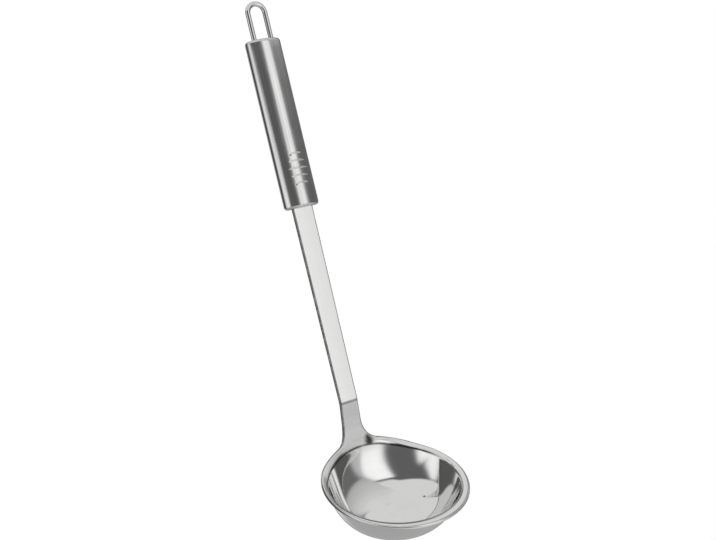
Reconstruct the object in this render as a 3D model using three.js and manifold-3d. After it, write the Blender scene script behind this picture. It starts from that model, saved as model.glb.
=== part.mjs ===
import * as THREE from 'three';
import { mergeVertices } from 'three/addons/utils/BufferGeometryUtils.js';
import Module from 'manifold-3d';

// Ladle in millimetres, +Z up the stem, bowl towards -Y.
// The origin is the point that rests on a hook: the inside top of the hanging loop.

// Sheet that forms bowl, rim, neck and stem
const SHEET_THICKNESS = 2.0;
const SHEET_EDGE_RADIUS = 0.6;

// Stem, from the crease above the bowl up to the handle, and the tang inside the handle
const STEM_LENGTH = 124.4;
const STEM_WIDTH_AT_CREASE = 13.1;
const STEM_WIDTH_AT_HANDLE = 14.7;
const TANG_LENGTH = 32.0;
const CREASE_LENGTH = 1.6;

// Rim, its tilt, its centre measured from the crease, and how much its back is flattened
const RIM_DIAMETER = 89.6;
const RIM_TILT_DEGREES = 28.1;
const RIM_REACH = 32.1;
const RIM_DROP = 49.4;
const RIM_FLATTENING = 1.3;
const RIM_FLAT_FROM_DEGREES = 48.0;

// Bowl inside the rim: a slightly oval mouth with a rounded lip, and a section least full at the back
const MOUTH_WIDTH = 82.8;
const MOUTH_LENGTH = 78.0;
const LIP_RADIUS = 3.0;
const BOWL_DEPTH = 24.7;
const BOWL_FULLNESS = 4.7;
const BACK_FULLNESS = 2.7;
const BOWL_SET_BACK = 0.4;
const BACK_WALL_BLEND_DEPTH = 20.0;

// Neck: the rim curls up at the back, runs back to a slant and meets the stem at the crease
const CURL_START = 24.0;
const CURL_FLAT_REACH = 10.9;
const CURL_END_BACK = 46.8;
const CURL_END_RISE = 16.6;
const CURL_RISE_BACK = 3.4;
const CURL_RISE_REACH = 10.8;
const NECK_ROOT_DEGREES = 20.0;
const NECK_FLARE_REACH = 5.0;
const NECK_FLARE_RISE = 8.5;
const NECK_FLARE_HEIGHT = 14.0;
const NECK_FLARE_WIDTH = 14.8;
const NECK_WIDTH = 13.7;

// Handle, an oval tube with closed-in ends
const HANDLE_LENGTH = 106.0;
const HANDLE_WIDTH = 23.9;
const HANDLE_DEPTH = 15.6;
const HANDLE_WALL = 1.0;
const HANDLE_EDGE_RADIUS = 2.0;
const HANDLE_LIP_INSET = 2.2;
const HANDLE_LIP_DEPTH = 1.8;
const HANDLE_LIP_SLOPE = 1.6;

// End plates in the two mouths of the handle
const CAP_THICKNESS = 1.5;
const FIT_CLEARANCE = 0.3;

// Thumb grooves across the front of the handle, longest in the middle
const GROOVE_HEIGHT = 23.9;
const GROOVE_PITCH = 4.6;
const GROOVE_HALF_LENGTHS = [4.4, 6.2, 8.0, 6.6, 4.8];
const GROOVE_RADIUS = 0.6;
const GROOVE_CUT = 0.3;
const GROOVE_ARCH = 0.35;
const GROOVE_RUN_OUT = 0.1;

// Hanging loop of round wire
const LOOP_RISE = 21.1;
const LOOP_FORWARD = 1.3;
const LOOP_SPACING = 12.0;
const LOOP_WIRE = 3.2;
const LOOP_LEG_IN_HANDLE = 12.0;

// Beads inside the handle
const STEM_BEAD_WIDTH = 1.5;
const LOOP_BEAD_WIDTH = 0.6;
const BEAD_HEIGHT = 1.6;
const BEAD_ROUND = 0.5;

// Facets
const ROUND_STEPS = 72;
const WALL_STEPS = 12;
const FILLET_STEPS = 3;
const RIM_STEPS = 3;
const NECK_STEPS = 12;
const OVAL_STEPS = 72;
const WIRE_SIDES = 20;
const LOOP_STEPS = 46;
const GROOVE_SIDES = 12;
const GROOVE_STEPS = 14;

// Heights that follow from the sizes
const HANDLE_TOP = -LOOP_RISE;
const HANDLE_BOTTOM = HANDLE_TOP - HANDLE_LENGTH;
const CREASE_Z = HANDLE_BOTTOM - STEM_LENGTH;

const POLISHED = new THREE.MeshStandardMaterial({ color: 0xc9cac9, roughness: 0.16, metalness: 1.0 });
const SATIN = new THREE.MeshStandardMaterial({ color: 0xbfc0bf, roughness: 0.26, metalness: 1.0 });
const WELD = new THREE.MeshStandardMaterial({ color: 0x8d8b86, roughness: 0.5, metalness: 1.0 });

const wasm = await Module();
wasm.setup();

// Volume inside a closed triangle mesh, negative when its faces point inwards
function signedVolume(positions, triangles) {
  const a = new THREE.Vector3();
  const b = new THREE.Vector3();
  const c = new THREE.Vector3();
  let volume = 0;
  for (let i = 0; i < triangles.length; i += 3) {
    a.fromArray(positions, 3 * triangles[i]);
    b.fromArray(positions, 3 * triangles[i + 1]);
    c.fromArray(positions, 3 * triangles[i + 2]);
    volume += a.dot(b.cross(c)) / 6;
  }
  return volume;
}

// Indexed geometry whose faces point outwards
function closedGeometry(positions, triangles) {
  const facing = Array.from(triangles);
  if (signedVolume(positions, facing) < 0) {
    facing.reverse();
  }
  const geometry = new THREE.BufferGeometry();
  geometry.setAttribute('position', new THREE.Float32BufferAttribute(positions, 3));
  geometry.setIndex(facing);
  return geometry;
}

// Shared corners of a three.js solid joined to one closed surface
function welded(geometry) {
  geometry.deleteAttribute('normal');
  geometry.deleteAttribute('uv');
  const joined = mergeVertices(geometry, 1e-4);
  return closedGeometry(joined.getAttribute('position').array, joined.getIndex().array);
}

function toManifold(geometry) {
  return new wasm.Manifold(new wasm.Mesh({
    numProp: 3,
    vertProperties: new Float32Array(geometry.getAttribute('position').array),
    triVerts: new Uint32Array(geometry.getIndex().array),
  }));
}

function fromManifold(solid) {
  const mesh = solid.getMesh();
  const positions = [];
  for (let i = 0; i < mesh.vertProperties.length; i += mesh.numProp) {
    positions.push(mesh.vertProperties[i], mesh.vertProperties[i + 1], mesh.vertProperties[i + 2]);
  }
  return closedGeometry(positions, mesh.triVerts);
}

// Named piece, moved from the stem's middle plane back to the loop's plane, where y is 0
function named(name, geometry, material) {
  geometry.translate(0, LOOP_FORWARD, 0);
  geometry.computeVertexNormals();
  const mesh = new THREE.Mesh(geometry, material);
  mesh.name = name;
  return mesh;
}

// Rim plane seen from the side, with its directions back to the neck and up out of the bowl
const TILT = THREE.MathUtils.degToRad(RIM_TILT_DEGREES);
const RIM_CENTRE = new THREE.Vector2(-RIM_REACH, CREASE_Z - RIM_DROP);
const BACKWARD = new THREE.Vector2(Math.cos(TILT), Math.sin(TILT));
const UPWARD = new THREE.Vector2(-Math.sin(TILT), Math.cos(TILT));

function inSideView(back, up) {
  return RIM_CENTRE.clone().addScaledVector(BACKWARD, back).addScaledVector(UPWARD, up);
}

// Side view of the sheet's upper face: flat rim, curl, slanted neck, crease and stem up to the tang
const FACE_Y = -SHEET_THICKNESS / 2;
const CREASE = new THREE.Vector2(FACE_Y, CREASE_Z);
const CURL_END = inSideView(CURL_END_BACK, CURL_END_RISE);
const NECK_END = CREASE.clone().add(CURL_END.clone().sub(CREASE).setLength(CREASE_LENGTH));
const STEM_START = new THREE.Vector2(FACE_Y, CREASE_Z + CREASE_LENGTH);
const TANG_END = new THREE.Vector2(FACE_Y, HANDLE_BOTTOM + TANG_LENGTH);

const sideView = new THREE.CurvePath();
sideView.add(new THREE.LineCurve(inSideView(-RIM_DIAMETER, 0), inSideView(CURL_START, 0)));
sideView.add(new THREE.CubicBezierCurve(
  inSideView(CURL_START, 0),
  inSideView(CURL_START + CURL_FLAT_REACH, 0),
  inSideView(CURL_END_BACK - CURL_RISE_BACK, CURL_END_RISE - CURL_RISE_REACH),
  CURL_END,
));
sideView.add(new THREE.LineCurve(CURL_END, NECK_END));
sideView.add(new THREE.QuadraticBezierCurve(NECK_END, CREASE, STEM_START));
sideView.add(new THREE.LineCurve(STEM_START, TANG_END));

const LENGTHS = sideView.getCurveLengths().map((length) => length - RIM_DIAMETER);
const ALONG_CURL_END = LENGTHS[1];
const ALONG_NECK_END = LENGTHS[2];
const ALONG_STEM_START = LENGTHS[3];
const ALONG_TANG_END = LENGTHS[4];
const ALONG_HANDLE = ALONG_TANG_END - TANG_LENGTH;

// Point and direction on the side view, `along` counted from the rim's centre over the sheet
function sideAt(along) {
  const t = (along + RIM_DIAMETER) / (ALONG_TANG_END + RIM_DIAMETER);
  return { point: sideView.getPoint(t), direction: sideView.getTangent(t) };
}

// Point on the bent sheet, `below` under its upper face
function onSheet(x, along, below) {
  const { point, direction } = sideAt(along);
  const y = point.x + direction.y * below;
  const z = point.y - direction.x * below;
  return new THREE.Vector3(x, y, z);
}

// Point of the bowl: it hangs from the curled rim near the mouth and is free of it lower down
function onBowl(x, back, below, inset) {
  const flat = inSideView(back, -below);
  const flatPoint = new THREE.Vector3(x, flat.x, flat.y);
  const under = below - inset;
  const reach = 1 - under / BACK_WALL_BLEND_DEPTH;
  if (back <= CURL_START || reach <= 0) {
    return flatPoint;
  }
  const hanging = onSheet(x, back, inset);
  hanging.y -= UPWARD.x * under;
  hanging.z -= UPWARD.y * under;
  return flatPoint.lerp(hanging, THREE.MathUtils.smoothstep(reach, 0, 1));
}

// Section of one face of the bowl in one direction, from the floor up the wall and over the lip
function bowlSection(turn, inset) {
  const depth = BOWL_DEPTH + inset;
  const lip = LIP_RADIUS - inset;
  const wide = MOUTH_WIDTH / 2 + inset;
  const long = MOUTH_LENGTH / 2 + inset;
  const fullness = THREE.MathUtils.lerp(BOWL_FULLNESS, BACK_FULLNESS, Math.max(0, Math.cos(turn)) ** 2);
  const slope = long / (fullness * depth);
  const lipDepth = LIP_RADIUS - lip * Math.sin(Math.atan(slope));
  const draft = Math.atan(slope * (1 - lipDepth / depth) ** (1 / fullness - 1));
  const wallTop = LIP_RADIUS - lip * Math.sin(draft);
  const top = Math.acos(Math.sqrt(wallTop / depth));
  const section = [];
  const add = (share, out, below) => {
    const x = (wide * share + out) * Math.sin(turn);
    const back = BOWL_SET_BACK + (long * share + out) * Math.cos(turn);
    section.push({ at: new THREE.Vector2(x, back), below });
  };
  for (let i = 1; i <= WALL_STEPS; i += 1) {
    const rise = (top * i) / WALL_STEPS;
    add(Math.sin(rise) ** (2 / fullness), 0, depth * Math.cos(rise) ** 2);
  }
  const topShare = Math.sin(top) ** (2 / fullness);
  for (let i = 1; i <= FILLET_STEPS; i += 1) {
    const roll = THREE.MathUtils.lerp(draft, Math.PI / 2, i / FILLET_STEPS);
    add(topShare, lip * (Math.cos(draft) - Math.cos(roll)), LIP_RADIUS - lip * Math.sin(roll));
  }
  return section;
}

// Bowl, rim, neck and stem as one sheet with an upper face, a lower face and a rounded edge
function bowlAndStem() {
  const positions = [];
  const triangles = [];
  const put = (v) => positions.push(v.x, v.y, v.z) / 3 - 1;
  const quad = (a, b, c, d) => triangles.push(a, b, c, a, c, d);
  const angle = (j) => (2 * Math.PI * j) / ROUND_STEPS;
  const rimRadius = RIM_DIAMETER / 2 - SHEET_EDGE_RADIUS;
  const half = Math.round((ROUND_STEPS * NECK_ROOT_DEGREES) / 360);
  const rootTurn = angle(half);

  // How far the rim's edge lies inside its circle, nothing at the front and most at the neck
  const flatFrom = Math.cos(THREE.MathUtils.degToRad(RIM_FLAT_FROM_DEGREES));
  const flattening = (turn) => {
    return RIM_FLATTENING * THREE.MathUtils.smoothstep(Math.cos(turn), flatFrom, Math.cos(rootTurn));
  };
  const onEdge = (turn) => {
    const radius = rimRadius - flattening(turn);
    return new THREE.Vector2(radius * Math.sin(turn), radius * Math.cos(turn));
  };

  // One face of bowl and rim; the returned rings hold vertex numbers
  const turns = Array.from({ length: ROUND_STEPS }, (_, j) => angle(j));
  const roundFace = (inset) => {
    const floor = inSideView(BOWL_SET_BACK, -BOWL_DEPTH - inset);
    const centre = put(new THREE.Vector3(0, floor.x, floor.y));
    const sections = turns.map((turn) => bowlSection(turn, inset));
    const numbers = sections[0].map((_, i) => sections.map((section) => {
      const { at, below } = section[i];
      return put(onBowl(at.x, at.y, below, inset));
    }));
    for (let i = 1; i <= RIM_STEPS; i += 1) {
      numbers.push(sections.map((section, j) => {
        const at = section.at(-1).at.clone().lerp(onEdge(turns[j]), i / RIM_STEPS);
        return put(onSheet(at.x, at.y, inset));
      }));
    }
    return { centre, numbers };
  };

  // Neck and stem columns run across, rows run up from the rim's edge to the end of the tang
  const foot = onEdge(rootTurn);
  const neckX = NECK_WIDTH / 2 - SHEET_EDGE_RADIUS;
  const flareX = NECK_FLARE_WIDTH / 2 - SHEET_EDGE_RADIUS;
  const footWay = new THREE.Vector2(-Math.cos(rootTurn), Math.sin(rootTurn));
  const flareTop = foot.y + NECK_FLARE_HEIGHT;
  const flare = new THREE.CubicBezierCurve(
    foot,
    foot.clone().addScaledVector(footWay, NECK_FLARE_REACH),
    new THREE.Vector2(flareX, flareTop - NECK_FLARE_RISE),
    new THREE.Vector2(neckX, flareTop),
  );
  const rows = [];
  for (let k = 1; k <= NECK_STEPS; k += 1) {
    const edge = flare.getPoint(k / NECK_STEPS);
    rows.push({ x: edge.x, along: edge.y, bow: 1 - (k / NECK_STEPS) ** 3 });
  }
  const creaseX = STEM_WIDTH_AT_CREASE / 2 - SHEET_EDGE_RADIUS;
  const handleX = STEM_WIDTH_AT_HANDLE / 2 - SHEET_EDGE_RADIUS;
  const creaseMiddle = (ALONG_NECK_END + ALONG_STEM_START) / 2;
  rows.push({ x: creaseX, along: ALONG_NECK_END, bow: 0 });
  rows.push({ x: creaseX, along: creaseMiddle, bow: 0 });
  rows.push({ x: creaseX, along: ALONG_STEM_START, bow: 0 });
  rows.push({ x: (creaseX + handleX) / 2, along: (ALONG_STEM_START + ALONG_HANDLE) / 2, bow: 0 });
  rows.push({ x: handleX, along: ALONG_HANDLE, bow: 0 });
  rows.push({ x: handleX, along: ALONG_TANG_END - SHEET_EDGE_RADIUS, bow: 0 });

  // Place of a neck vertex on the unrolled sheet
  const place = (row, column) => {
    const turn = angle(column);
    const bulge = onEdge(turn).y - foot.y;
    const share = Math.sin(turn) / Math.sin(rootTurn);
    return new THREE.Vector2(row.x * share, row.along + row.bow * bulge);
  };

  const neckFace = (rim, below) => {
    const grid = [[]];
    for (let c = -half; c <= half; c += 1) {
      grid[0].push(rim[(c + ROUND_STEPS) % ROUND_STEPS]);
    }
    for (const row of rows) {
      const line = [];
      for (let c = -half; c <= half; c += 1) {
        const at = place(row, c);
        line.push(put(onSheet(at.x, at.y, below)));
      }
      grid.push(line);
    }
    return grid;
  };

  const upper = roundFace(0);
  const lower = roundFace(SHEET_THICKNESS);
  const last = upper.numbers.length - 1;
  const upperNeck = neckFace(upper.numbers[last], 0);
  const lowerNeck = neckFace(lower.numbers[last], SHEET_THICKNESS);

  for (let j = 0; j < ROUND_STEPS; j += 1) {
    const n = (j + 1) % ROUND_STEPS;
    triangles.push(upper.centre, upper.numbers[0][n], upper.numbers[0][j]);
    triangles.push(lower.centre, lower.numbers[0][j], lower.numbers[0][n]);
    for (let i = 0; i < last; i += 1) {
      const [a, b] = [upper.numbers[i], upper.numbers[i + 1]];
      quad(a[j], a[n], b[n], b[j]);
      const [c, d] = [lower.numbers[i], lower.numbers[i + 1]];
      quad(c[j], d[j], d[n], c[n]);
    }
  }
  for (let k = 0; k < rows.length; k += 1) {
    for (let c = 0; c < 2 * half; c += 1) {
      const [a, b] = [upperNeck[k], upperNeck[k + 1]];
      quad(a[c], a[c + 1], b[c + 1], b[c]);
      const [d, e] = [lowerNeck[k], lowerNeck[k + 1]];
      quad(d[c], e[c], e[c + 1], d[c + 1]);
    }
  }

  // Edge of the sheet in order, with the place of each vertex on the unrolled sheet
  const border = [];
  for (let j = ROUND_STEPS - half; j >= half; j -= 1) {
    border.push({ at: onEdge(angle(j)), up: upper.numbers[last][j], down: lower.numbers[last][j] });
  }
  rows.forEach((row, k) => {
    border.push({ at: place(row, half), up: upperNeck[k + 1].at(-1), down: lowerNeck[k + 1].at(-1) });
  });
  const end = rows[rows.length - 1];
  for (let c = half - 1; c > -half; c -= 1) {
    const at = place(end, c);
    border.push({ at, up: upperNeck.at(-1)[c + half], down: lowerNeck.at(-1)[c + half] });
  }
  rows.toReversed().forEach((row, k) => {
    const line = rows.length - k;
    border.push({ at: place(row, -half), up: upperNeck[line][0], down: lowerNeck[line][0] });
  });

  // Rounded corner, flat edge and rounded corner as distances out and below
  const corner = SHEET_EDGE_RADIUS * Math.SQRT1_2;
  const slack = SHEET_EDGE_RADIUS - corner;
  const section = [
    [corner, slack],
    [SHEET_EDGE_RADIUS, SHEET_EDGE_RADIUS],
    [SHEET_EDGE_RADIUS, SHEET_THICKNESS - SHEET_EDGE_RADIUS],
    [corner, SHEET_THICKNESS - slack],
  ];
  const strips = border.map(({ at, up, down }, i) => {
    const before = border.at(i - 1).at;
    const after = border[(i + 1) % border.length].at;
    const first = at.clone().sub(before).normalize();
    const second = after.clone().sub(at).normalize();
    const way = first.clone().add(second).normalize();
    const out = new THREE.Vector2(way.y, -way.x).divideScalar(way.dot(first));
    const { direction } = sideAt(at.y);
    const line = section.map(([far, below]) => {
      const v = onSheet(at.x + out.x * far, at.y, below);
      v.y += direction.x * out.y * far;
      v.z += direction.y * out.y * far;
      return put(v);
    });
    return [up, ...line, down];
  });
  strips.forEach((strip, i) => {
    const next = strips[(i + 1) % strips.length];
    for (let r = 0; r < strip.length - 1; r += 1) {
      quad(strip[r], strip[r + 1], next[r + 1], next[r]);
    }
  });
  return closedGeometry(positions, triangles);
}

// Points round the handle's oval, moved inwards by an inset
function oval(inset) {
  const a = HANDLE_WIDTH / 2;
  const b = HANDLE_DEPTH / 2;
  const points = [];
  for (let j = 0; j < OVAL_STEPS; j += 1) {
    const turn = (2 * Math.PI * j) / OVAL_STEPS;
    const normal = new THREE.Vector2(b * Math.cos(turn), a * Math.sin(turn)).normalize();
    points.push(new THREE.Vector2(a * Math.cos(turn), b * Math.sin(turn)).addScaledVector(normal, -inset));
  }
  return points;
}

// Oval tube from a closed loop of insets and heights
function ovalTube(loop) {
  const positions = [];
  const triangles = [];
  loop.forEach(([inset, z]) => oval(inset).forEach((p) => positions.push(p.x, p.y, z)));
  loop.forEach((ring, i) => {
    const from = i * OVAL_STEPS;
    const to = ((i + 1) % loop.length) * OVAL_STEPS;
    for (let j = 0; j < OVAL_STEPS; j += 1) {
      const n = (j + 1) % OVAL_STEPS;
      triangles.push(from + j, from + n, to + n, from + j, to + n, to + j);
    }
  });
  return closedGeometry(positions, triangles);
}

// Line of a thumb groove over the front of the oval, leaving the surface at both ends
class GrooveLine extends THREE.Curve {
  constructor(halfLength, z) {
    super();
    this.halfLength = halfLength;
    this.z = z;
  }

  getPoint(t) {
    const share = 2 * t - 1;
    const a = HANDLE_WIDTH / 2;
    const b = HANDLE_DEPTH / 2;
    const x = this.halfLength * share;
    const y = -b * Math.sqrt(1 - (x / a) ** 2);
    const normal = new THREE.Vector2(x / a ** 2, y / b ** 2).normalize();
    const lift = GROOVE_RADIUS - GROOVE_CUT + (GROOVE_CUT + GROOVE_RUN_OUT) * share ** 4;
    const z = this.z + GROOVE_ARCH * (1 - share ** 2);
    return new THREE.Vector3(x + normal.x * lift, y + normal.y * lift, z);
  }
}

function handleTube() {
  const upward = [];
  for (let i = 0; i <= FILLET_STEPS; i += 1) {
    const turn = (Math.PI / 2) * (i / FILLET_STEPS);
    const inset = HANDLE_EDGE_RADIUS * (1 - Math.cos(turn));
    upward.push([inset, HANDLE_TOP - HANDLE_EDGE_RADIUS * (1 - Math.sin(turn))]);
  }
  const lip = [
    [HANDLE_LIP_INSET, HANDLE_TOP],
    [HANDLE_LIP_INSET, HANDLE_TOP - HANDLE_LIP_DEPTH],
    [HANDLE_WALL, HANDLE_TOP - HANDLE_LIP_DEPTH - HANDLE_LIP_SLOPE],
  ];
  const upperHalf = [...upward, ...lip];
  const lowerHalf = upperHalf.map(([inset, z]) => [inset, HANDLE_TOP + HANDLE_BOTTOM - z]).reverse();
  let solid = toManifold(ovalTube([...upperHalf, ...lowerHalf]));
  GROOVE_HALF_LENGTHS.forEach((halfLength, i) => {
    const z = HANDLE_BOTTOM + GROOVE_HEIGHT + GROOVE_PITCH * ((GROOVE_HALF_LENGTHS.length - 1) / 2 - i);
    const section = new THREE.Shape().absarc(0, 0, GROOVE_RADIUS, 0, 2 * Math.PI, false);
    const cutter = new THREE.ExtrudeGeometry(section, {
      steps: GROOVE_STEPS,
      curveSegments: GROOVE_SIDES,
      extrudePath: new GrooveLine(halfLength, z),
    });
    solid = solid.subtract(toManifold(welded(cutter)));
  });
  return fromManifold(solid);
}

// Rounded rectangle round the stem's section, wider by a margin
function stemOutline(path, margin) {
  const x = STEM_WIDTH_AT_HANDLE / 2 + margin;
  const y = SHEET_THICKNESS / 2 + margin;
  const r = SHEET_EDGE_RADIUS + margin;
  path.moveTo(-x + r, -y);
  path.lineTo(x - r, -y);
  path.absarc(x - r, -y + r, r, -Math.PI / 2, 0, false);
  path.lineTo(x, y - r);
  path.absarc(x - r, y - r, r, 0, Math.PI / 2, false);
  path.lineTo(-x + r, y);
  path.absarc(-x + r, y - r, r, Math.PI / 2, Math.PI, false);
  path.lineTo(-x, -y + r);
  path.absarc(-x + r, -y + r, r, Math.PI, 1.5 * Math.PI, false);
  return path;
}

// End plate that fills a mouth of the handle, with its underside at height z
function endPlate(holes, z) {
  const outline = new THREE.Shape(oval(HANDLE_LIP_INSET + FIT_CLEARANCE));
  outline.holes.push(...holes);
  const plate = new THREE.ExtrudeGeometry(outline, {
    depth: CAP_THICKNESS,
    bevelEnabled: false,
    curveSegments: WIRE_SIDES / 2,
  });
  return welded(plate.translate(0, 0, z));
}

function lowerEndCap() {
  return endPlate([stemOutline(new THREE.Path(), FIT_CLEARANCE)], HANDLE_BOTTOM);
}

function upperEndCap() {
  const radius = LOOP_WIRE / 2 + FIT_CLEARANCE;
  const holes = [-1, 1].map((side) => {
    return new THREE.Path().absarc((side * LOOP_SPACING) / 2, -LOOP_FORWARD, radius, 0, 2 * Math.PI, false);
  });
  return endPlate(holes, HANDLE_TOP - CAP_THICKNESS);
}

// Wire axis: up the left leg, over the half circle and down the right leg
class LoopLine extends THREE.Curve {
  getPoint(t) {
    const radius = LOOP_SPACING / 2;
    const shoulder = LOOP_WIRE / 2 - radius;
    const foot = HANDLE_TOP - LOOP_LEG_IN_HANDLE;
    const leg = shoulder - foot;
    const arc = Math.PI * radius;
    const way = t * (2 * leg + arc);
    if (way < leg) {
      return new THREE.Vector3(-radius, -LOOP_FORWARD, foot + way);
    }
    if (way > leg + arc) {
      return new THREE.Vector3(radius, -LOOP_FORWARD, shoulder - (way - leg - arc));
    }
    const turn = (way - leg) / radius;
    const x = -radius * Math.cos(turn);
    return new THREE.Vector3(x, -LOOP_FORWARD, shoulder + radius * Math.sin(turn));
  }
}

function hangingLoop() {
  const section = new THREE.Shape().absarc(0, 0, LOOP_WIRE / 2, 0, 2 * Math.PI, false);
  return welded(new THREE.ExtrudeGeometry(section, {
    steps: LOOP_STEPS,
    curveSegments: WIRE_SIDES / 2,
    extrudePath: new LoopLine(),
  }));
}

// Bead round the tang on the inner side of the lower plate
function stemWeld() {
  const ring = stemOutline(new THREE.Shape(), FIT_CLEARANCE + STEM_BEAD_WIDTH - BEAD_ROUND);
  ring.holes.push(stemOutline(new THREE.Path(), FIT_CLEARANCE + BEAD_ROUND));
  const bead = new THREE.ExtrudeGeometry(ring, {
    depth: BEAD_HEIGHT - 2 * BEAD_ROUND,
    curveSegments: FILLET_STEPS,
    bevelThickness: BEAD_ROUND,
    bevelSize: BEAD_ROUND,
    bevelSegments: FILLET_STEPS,
  });
  return welded(bead.translate(0, 0, HANDLE_BOTTOM + CAP_THICKNESS + FIT_CLEARANCE + BEAD_ROUND));
}

// Bead round one wire leg on the inner side of the upper plate
function loopWeld(side) {
  const inner = LOOP_WIRE / 2 + FIT_CLEARANCE;
  const outer = inner + LOOP_BEAD_WIDTH;
  const profile = [
    new THREE.Vector2(inner, 0),
    new THREE.Vector2(inner, -BEAD_HEIGHT),
    new THREE.Vector2(outer - BEAD_ROUND, -BEAD_HEIGHT),
    new THREE.Vector2(outer, -BEAD_ROUND),
    new THREE.Vector2(outer, 0),
    new THREE.Vector2(inner, 0),
  ];
  const bead = new THREE.LatheGeometry(profile, WIRE_SIDES);
  bead.rotateX(Math.PI / 2);
  bead.translate((side * LOOP_SPACING) / 2, -LOOP_FORWARD, HANDLE_TOP - CAP_THICKNESS - FIT_CLEARANCE);
  return welded(bead);
}

const ladle = new THREE.Group();
ladle.name = 'ladle';
ladle.add(named('bowl_and_stem', bowlAndStem(), POLISHED));
ladle.add(named('handle_tube', handleTube(), SATIN));
ladle.add(named('lower_end_cap', lowerEndCap(), SATIN));
ladle.add(named('upper_end_cap', upperEndCap(), SATIN));
ladle.add(named('hanging_loop', hangingLoop(), POLISHED));
ladle.add(named('stem_weld', stemWeld(), WELD));
ladle.add(named('loop_weld_left', loopWeld(-1), WELD));
ladle.add(named('loop_weld_right', loopWeld(1), WELD));

export default ladle;
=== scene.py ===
import math

import bpy
import numpy as np
from mathutils import Matrix, Vector

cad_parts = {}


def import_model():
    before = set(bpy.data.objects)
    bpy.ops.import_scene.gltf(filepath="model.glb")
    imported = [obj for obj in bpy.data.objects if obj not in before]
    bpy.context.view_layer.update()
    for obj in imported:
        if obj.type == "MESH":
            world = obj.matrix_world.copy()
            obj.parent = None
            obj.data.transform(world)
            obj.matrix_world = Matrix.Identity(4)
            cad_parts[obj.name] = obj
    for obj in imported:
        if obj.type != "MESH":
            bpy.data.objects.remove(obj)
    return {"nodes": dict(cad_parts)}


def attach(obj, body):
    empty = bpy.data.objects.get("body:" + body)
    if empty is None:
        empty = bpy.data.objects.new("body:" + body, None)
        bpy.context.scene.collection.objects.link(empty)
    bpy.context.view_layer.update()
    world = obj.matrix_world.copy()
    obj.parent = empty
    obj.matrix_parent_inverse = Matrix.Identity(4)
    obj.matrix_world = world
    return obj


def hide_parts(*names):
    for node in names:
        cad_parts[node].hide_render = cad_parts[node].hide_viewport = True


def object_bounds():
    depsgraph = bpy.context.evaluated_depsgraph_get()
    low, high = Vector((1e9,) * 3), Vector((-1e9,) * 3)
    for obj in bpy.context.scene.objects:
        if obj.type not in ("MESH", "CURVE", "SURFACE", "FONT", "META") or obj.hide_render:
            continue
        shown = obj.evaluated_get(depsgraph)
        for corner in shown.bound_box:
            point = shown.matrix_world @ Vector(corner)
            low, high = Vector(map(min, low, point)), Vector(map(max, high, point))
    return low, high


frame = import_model()
CAD_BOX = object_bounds()

bl_info = {
    "name": "Steel ladle",
    "version": (1, 0, 0),
    "blender": (4, 5, 0),
    "location": "3D View > Sidebar > Ladle",
    "description": "Builds the smooth sheet, handle and wire loop of a steel ladle",
    "category": "Object",
}

# Mesh fineness
ROUND_STEPS = 288
WALL_STEPS = 60
FILLET_STEPS = 8
RIM_STEPS = 8
NECK_STEPS = 48
CREASE_STEPS = 12
STEM_STEPS = 16
EDGE_STEPS = 5
CURVE_STEPS = 1500
OVAL_STEPS = 256
GROOVE_ROW = 0.00014
WIRE_SIDES = 40
LOOP_STEPS = 96
LEG_STEPS = 10
DOME_TURN_STEP = 2.0
DOME_RISE_STEP = 1.0

# Painted shade line under the lip, as rings from the wall's top with their strength, and where it
# fades
LIP_SHADE_RINGS = ((-1, 0.6), (0, 1.0), (1, 0.8), (2, 0.3))
LIP_SHADE_FROM = (-70, -40)
LIP_SHADE_TO = (55, 95)

# Painted shade spot in the flare's corner, as shares of the way to the rim's edge with shares of
# its size
SPOT_PARTS = ((0.91, 1.0), (0.94, 1.0), (0.97, 0.9), (1.0, 0.7))
SPOT_CORE = 0.2

# Painted shade line in the crease, by shares of its length, and cut edges painted dark as a painted
# reflection, by depths below the crease
CREASE_SHADE = 0.7
CREASE_LINE = (0.2, 0.8)
# Strength of the painted dark reflection on the cut edges
EDGE_DARK_REFLECTION = 0.75
EDGE_FADE = (0.044, 0.06)

# Dull bend between neck and rim, by depths below the crease and shares of the neck's width
DULL_FROM = (0.008, 0.016)
DULL_TO = (0.027, 0.031)
DULL_SIDES = (1.0, 1.4)

# Share of a noise that tells patches and painted shade from clean steel, and how fine the painted
# shade's breaking up is
PATCH_RANGE = (0.3, 0.7)
PAINTED_SHADE_RANGE = (0.1, 0.5)
PAINTED_SHADE_FINENESS = 160

# Turning rings in the bowl
RINGS_BELOW_CREASE = 0.03
RINGS_FADE = 0.004
RINGS_FINENESS = 420
RINGS_WANDER = 14

# Edges of the studio in degrees, each with its softness
RIGHT_WALL_FROM = (18, 4)
LEFT_WALL_TO = (-88, 5)
REAR_WALL_FROM = (108, 3)
REAR_WALL_TO = (-164, 4)
REAR_BOX_FROM = (166, 2)
REAR_BOX_TO = (-168, 2)
REAR_BOX_TOP = (34, 1.5)
SIDE_CLOTH_FROM = (38.6, 1)
SIDE_CLOTH_TO = (102, 3)
FRONT_CEILING_FROM = (0, 4)
SIDE_CEILING_FROM = (45, 1.5)
LEFT_REAR_TO = (-140, 6)
BRIGHT_GROUND_FROM = (-40, 12)
BRIGHT_GROUND_TO = (100, 12)
NEAR_GROUND_TOP = (-42, 4)

# Softness of the edges that are settings, and how the boxes lean and dim
FRONT_BOX_SOFT = (2.6, 1.7, 0.35)
WING_SOFT = 1.1
LEFT_BOX_SOFT = (4, 3.5, 2)
STRIP_SOFT = (2.5, 1.5)
CLOTH_SOFT = 1.2
CEILING_SOFT = 0.6
GROUND_SOFT = 2.5
FRONT_BOX_LEFT_LEAN = 0.07
FRONT_BOX_LEAN = 0.36
FRONT_BOX_DIM = 0.004
FRONT_BOX_DIM_FROM = 18
LEFT_BOX_LEAN = 0.7
LEFT_BOX_LEAN_FROM = 12
CLOTH_CLIMB_FROM = 10
GROUND_GAIN = 0.28
NEAR_GROUND_GAIN = 0.35

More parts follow.
